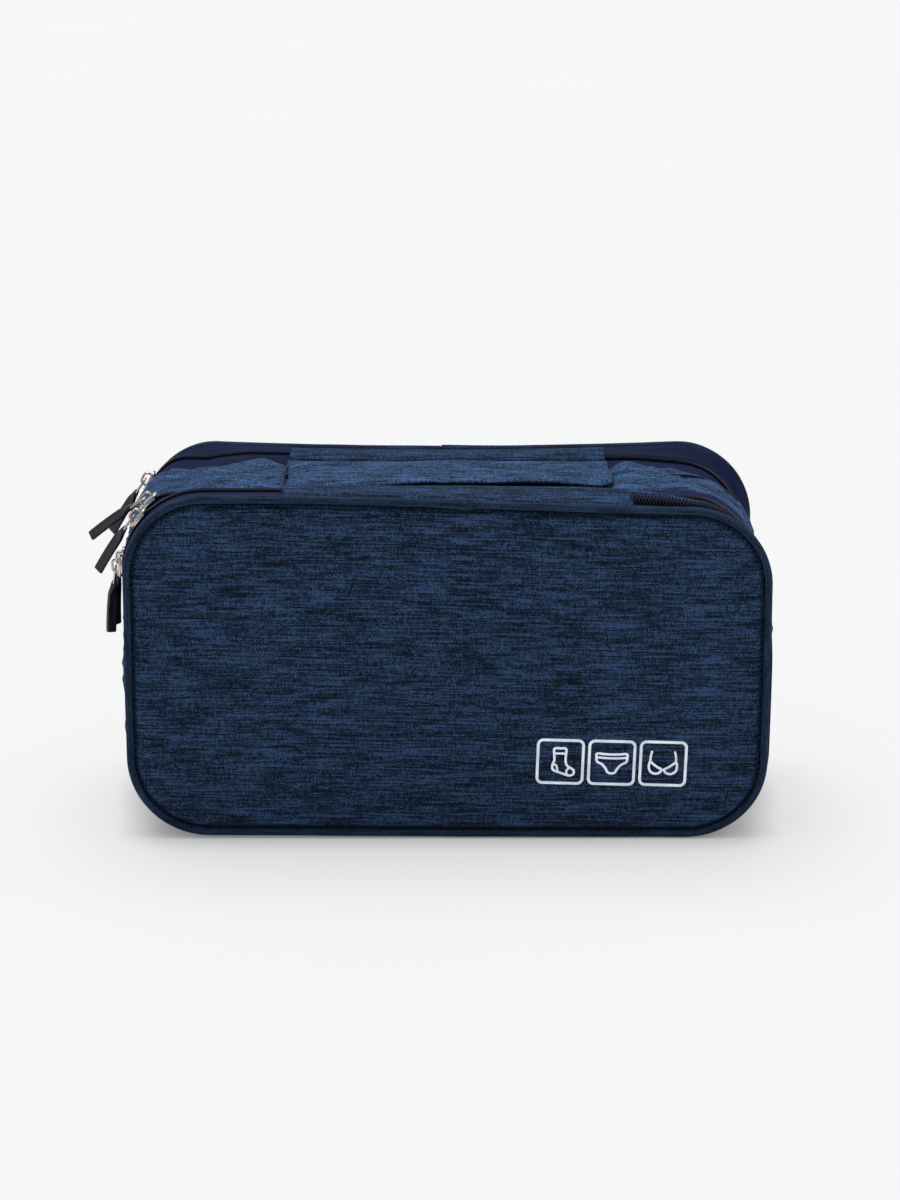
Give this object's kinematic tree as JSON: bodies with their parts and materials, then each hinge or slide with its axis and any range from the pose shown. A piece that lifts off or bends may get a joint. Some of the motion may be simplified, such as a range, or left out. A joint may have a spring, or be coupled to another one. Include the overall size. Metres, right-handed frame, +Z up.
{
  "type": "soft travel underwear organizer",
  "caption": "Padded fabric travel organizer with a carry strap, two hinged lids and a middle leaf, closed by two-way coil zips on the sides and bottom.",
  "frame": {"origin": "middle of the footprint, on the plane that the bag stands on", "axes": "+X along the width to the right seen from the front, -Y out of the front lid, +Z up"},
  "size_m": [0.3205, 0.12, 0.168],
  "materials": {
    "heather_fabric": "navy heather plain weave with lighter slubs",
    "binding_fabric": "navy heather binding, sewn through",
    "lining_fabric": "smooth dark navy lining cloth",
    "zip_tape": "indigo herringbone zip tape",
    "elastic": "ribbed elastic",
    "mesh_fabric": "open knitted mesh",
    "foam": "closed-cell foam",
    "zip_coil": "nylon coil",
    "slider_metal": "polished nickel plate",
    "pull_rubber": "satin moulded rubber"
  },
  "bodies": {
    "bag_body": {"gusset_wall": "heather_fabric", "gusset_lining": "lining_fabric", "gusset_top_panel": "heather_fabric", "partition_panel": "lining_fabric", "divider_long": "lining_fabric", "divider_left_lower": "lining_fabric", "divider_left_upper": "lining_fabric", "divider_right_lower": "lining_fabric", "divider_right_upper": "lining_fabric", "rear_elastic_strap": "elastic", "middle_zip_body_tape": "zip_tape", "middle_zip_body_coil": "zip_coil", "rear_zip_body_tape": "zip_tape", "rear_zip_body_coil": "zip_coil", "middle_hinge_strip": "heather_fabric", "rear_hinge_strip": "heather_fabric"},
    "middle_leaf": {"leaf_edge": "heather_fabric", "leaf_panel": "lining_fabric", "front_zip_leaf_tape": "zip_tape", "front_zip_leaf_coil": "zip_coil", "middle_zip_leaf_tape": "zip_tape", "middle_zip_leaf_coil": "zip_coil", "front_hinge_strip": "heather_fabric"},
    "front_lid": {"front_binding": "binding_fabric", "front_cover": "heather_fabric", "front_foam": "foam", "front_lining": "lining_fabric", "front_mesh_pocket": "mesh_fabric", "front_pocket_elastic": "elastic", "front_zip_lid_tape": "zip_tape", "front_zip_lid_coil": "zip_coil"},
    "rear_lid": {"rear_binding": "binding_fabric", "rear_cover": "heather_fabric", "rear_foam": "foam", "rear_lining": "lining_fabric", "rear_mesh_pocket": "mesh_fabric", "rear_pocket_elastic": "elastic", "rear_zip_lid_tape": "zip_tape", "rear_zip_lid_coil": "zip_coil"},
    "handle": {"handle_strap": "heather_fabric"},
    "front_upper_slider": {"front_slider_upper": "slider_metal"},
    "front_lower_slider": {"front_slider_lower": "slider_metal"},
    "middle_upper_slider": {"middle_slider_upper": "slider_metal"},
    "middle_lower_slider": {"middle_slider_lower": "slider_metal"},
    "rear_upper_slider": {"rear_slider_upper": "slider_metal"},
    "rear_lower_slider": {"rear_slider_lower": "slider_metal"},
    "front_upper_pull": {"front_pull_link_upper": "slider_metal", "front_pull_tab_upper": "pull_rubber"},
    "front_lower_pull": {"front_pull_link_lower": "slider_metal", "front_pull_tab_lower": "pull_rubber"},
    "middle_upper_pull": {"middle_pull_link_upper": "slider_metal", "middle_pull_tab_upper": "pull_rubber"},
    "middle_lower_pull": {"middle_pull_link_lower": "slider_metal", "middle_pull_tab_lower": "pull_rubber"},
    "rear_upper_pull": {"rear_pull_link_upper": "slider_metal", "rear_pull_tab_upper": "pull_rubber"},
    "rear_lower_pull": {"rear_pull_link_lower": "slider_metal", "rear_pull_tab_lower": "pull_rubber"}
  },
  "joints": [
    {"name": "middle_leaf_hinge", "type": "hinge", "parent": "bag_body", "child": "middle_leaf", "pos_m": [0, -0.0295, 0.168], "axis": [-1, 0, 0], "range_deg": [0, 80]},
    {"name": "front_lid_hinge", "type": "hinge", "parent": "middle_leaf", "child": "front_lid", "pos_m": [0, -0.047, 0.168], "axis": [-1, 0, 0], "range_deg": [0, 100]},
    {"name": "rear_lid_hinge", "type": "hinge", "parent": "bag_body", "child": "rear_lid", "pos_m": [0, 0.047, 0.168], "axis": [1, 0, 0], "range_deg": [0, 165]},
    {"name": "handle_lift", "type": "slide", "parent": "bag_body", "child": "handle", "axis": [0, 0, 1], "range_m": [0, 0.02]},
    {"name": "front_upper_slider_travel", "type": "hinge", "parent": "middle_leaf", "child": "front_upper_slider", "pos_m": [-0.112, -0.047, 0.128], "axis": [0, 1, 0], "range_deg": [-4, 11]},
    {"name": "front_lower_slider_travel", "type": "slide", "parent": "middle_leaf", "child": "front_lower_slider", "axis": [0, 0, -1], "range_m": [0, 0.08]},
    {"name": "middle_upper_slider_travel", "type": "hinge", "parent": "bag_body", "child": "middle_upper_slider", "pos_m": [-0.112, -0.0295, 0.128], "axis": [0, 1, 0], "range_deg": [-12, 4]},
    {"name": "middle_lower_slider_travel", "type": "slide", "parent": "bag_body", "child": "middle_lower_slider", "axis": [0, 0, -1], "range_m": [0, 0.08]},
    {"name": "rear_upper_slider_travel", "type": "hinge", "parent": "bag_body", "child": "rear_upper_slider", "pos_m": [-0.112, 0.047, 0.128], "axis": [0, 1, 0], "range_deg": [-5, 20]},
    {"name": "rear_lower_slider_travel", "type": "slide", "parent": "bag_body", "child": "rear_lower_slider", "axis": [0, 0, -1], "range_m": [0, 0.08]},
    {"name": "front_upper_pull_swing", "type": "hinge", "parent": "front_upper_slider", "child": "front_upper_pull", "pos_m": [-0.1446, -0.047, 0.1544], "axis": [0, 1, 0], "range_deg": [0, 80]},
    {"name": "front_lower_pull_swing", "type": "hinge", "parent": "front_lower_slider", "child": "front_lower_pull", "pos_m": [-0.15395, -0.047, 0.13], "axis": [0, 1, 0], "range_deg": [0, 45]},
    {"name": "middle_upper_pull_swing", "type": "hinge", "parent": "middle_upper_slider", "child": "middle_upper_pull", "pos_m": [-0.14114, -0.0295, 0.15818], "axis": [0, 1, 0], "range_deg": [0, 66]},
    {"name": "middle_lower_pull_swing", "type": "hinge", "parent": "middle_lower_slider", "child": "middle_lower_pull", "pos_m": [-0.15395, -0.0295, 0.129], "axis": [0, 1, 0], "range_deg": [0, 45]},
    {"name": "rear_upper_pull_swing", "type": "hinge", "parent": "rear_upper_slider", "child": "rear_upper_pull", "pos_m": [-0.14833, 0.047, 0.14897], "axis": [0, 1, 0], "range_deg": [0, 80]},
    {"name": "rear_lower_pull_swing", "type": "hinge", "parent": "rear_lower_slider", "child": "rear_lower_pull", "pos_m": [-0.15395, 0.047, 0.128], "axis": [0, 1, 0], "range_deg": [0, 45]}
  ]
}
